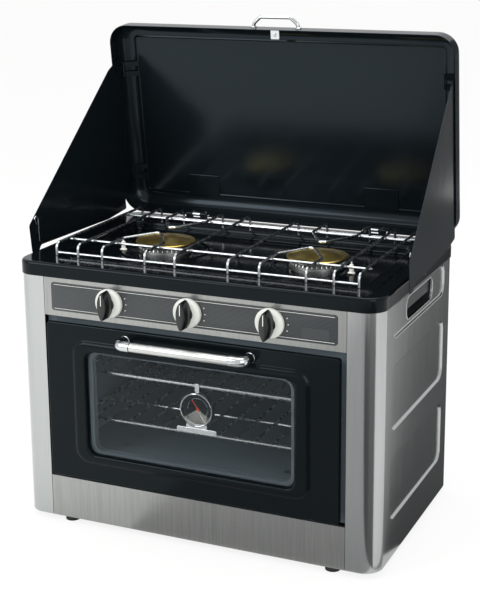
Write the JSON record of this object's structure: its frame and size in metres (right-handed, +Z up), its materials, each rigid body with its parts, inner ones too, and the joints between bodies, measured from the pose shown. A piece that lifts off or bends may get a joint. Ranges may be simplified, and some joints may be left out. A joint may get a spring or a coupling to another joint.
{
  "type": "folding camp oven",
  "caption": "Portable gas cooker with brass-capped burners on a black tray over a stainless steel oven with a glass door, lid and folding wind shields.",
  "frame": {"origin": "Middle of the footprint on the surface that the feet stand on", "axes": "+Z up, +X to the right as seen from the front, the door and knobs face -Y"},
  "size_m": [0.547, 0.387, 0.6794],
  "materials": {
    "stainless": "fine upright brushed stainless steel",
    "galvanised": "dull galvanised sheet and pipe",
    "satin_steel": "satin steel handle bar",
    "black_enamel": "glossy black enamel on steel",
    "dark_enamel": "dark inside of the carry handle",
    "oven_enamel": "speckled dark oven enamel",
    "chrome": "bright chromium plating",
    "aluminium": "cast and machined aluminium",
    "brass": "satin brass",
    "rubber": "black rubber feet",
    "label": "dark printed plate with fine lines",
    "dial": "white dial with a plain scale",
    "red": "red painted needle",
    "ceramic": "white glazed ceramic",
    "knob_black": "glossy black moulding",
    "knob_grey": "pale grey moulding",
    "door_glass": "toughened tinted glass"
  },
  "bodies": {
    "body": {"side_panel_left": "stainless", "side_panel_right": "stainless", "rear_panel": "galvanised", "base_panel": "galvanised", "feet": "rubber", "lower_front_panel": "stainless", "control_panel": "stainless", "control_label": "label", "handle_cups": "dark_enamel", "oven_liner": "oven_enamel", "oven_floor": "oven_enamel", "oven_burner": "galvanised", "oven_feed_pipe": "galvanised", "rack_guides": "chrome", "oven_rack_upper": "chrome", "oven_rack_lower": "chrome", "gauge_case": "chrome", "gauge_dial": "dial", "gauge_needle": "red", "door_hinge_pins": "galvanised", "hob_tray": "black_enamel", "burner_bases": "aluminium", "burner_rings": "aluminium", "burner_caps": "brass", "igniters": "ceramic", "gas_manifold": "galvanised", "gas_valves": "brass", "gas_inlet": "brass", "body_screws": "chrome", "lid_hinge_bases": "black_enamel"},
    "pan_support_body": {"pan_support": "chrome", "pan_support_bends": "chrome"},
    "lid": {"lid_shell": "black_enamel", "lid_hinge_plates": "black_enamel", "lid_hinge_leaves": "chrome", "lid_handle": "chrome", "lid_catch": "chrome", "lid_screws": "chrome", "shield_brackets": "black_enamel"},
    "shield_right_body": {"shield_right": "black_enamel", "shield_right_hinges": "black_enamel", "shield_right_clip": "chrome"},
    "shield_left_body": {"shield_left": "black_enamel", "shield_left_hinges": "black_enamel", "shield_left_clip": "chrome"},
    "door": {"door_panel": "black_enamel", "door_glass": "door_glass", "door_inner_panel": "oven_enamel", "door_handle_bar": "satin_steel", "door_handle_brackets": "chrome"},
    "knob_left_body": {"knob_left": "knob_black", "knob_left_skirt": "knob_grey", "valve_stem_left": "brass"},
    "knob_middle_body": {"knob_middle": "knob_black", "knob_middle_skirt": "knob_grey", "valve_stem_middle": "brass"},
    "knob_right_body": {"knob_right": "knob_black", "knob_right_skirt": "knob_grey", "valve_stem_right": "brass"}
  },
  "joints": [
    {"name": "lid_hinge", "type": "hinge", "parent": "body", "child": "lid", "pos_m": [0, 0.16315, 0.376], "axis": [1, 0, 0], "range_deg": [-12, 82.8]},
    {"name": "shield_left_hinge", "type": "hinge", "parent": "lid", "child": "shield_left_body", "pos_m": [-0.25699, 0.16712, 0.51056], "axis": [0, -0.1253, 0.9921], "range_deg": [0, 93]},
    {"name": "shield_right_hinge", "type": "hinge", "parent": "lid", "child": "shield_right_body", "pos_m": [0.25699, 0.16414, 0.51018], "axis": [0, 0.1253, -0.9921], "range_deg": [0, 93]},
    {"name": "door_hinge", "type": "hinge", "parent": "body", "child": "door", "pos_m": [0, -0.15585, 0.079], "axis": [1, 0, 0], "range_deg": [0, 90]},
    {"name": "pan_support_lift", "type": "slide", "parent": "body", "child": "pan_support_body", "axis": [0, 0, -1], "range_m": [-0.1, 0]},
    {"name": "knob_left_turn", "type": "hinge", "parent": "body", "child": "knob_left_body", "pos_m": [-0.114, -0.16685, 0.326], "axis": [0, -1, 0], "range_deg": [0, 180]},
    {"name": "knob_middle_turn", "type": "hinge", "parent": "body", "child": "knob_middle_body", "pos_m": [0, -0.16685, 0.326], "axis": [0, -1, 0], "range_deg": [0, 180]},
    {"name": "knob_right_turn", "type": "hinge", "parent": "body", "child": "knob_right_body", "pos_m": [0.114, -0.16685, 0.326], "axis": [0, -1, 0], "range_deg": [0, 180]}
  ]
}
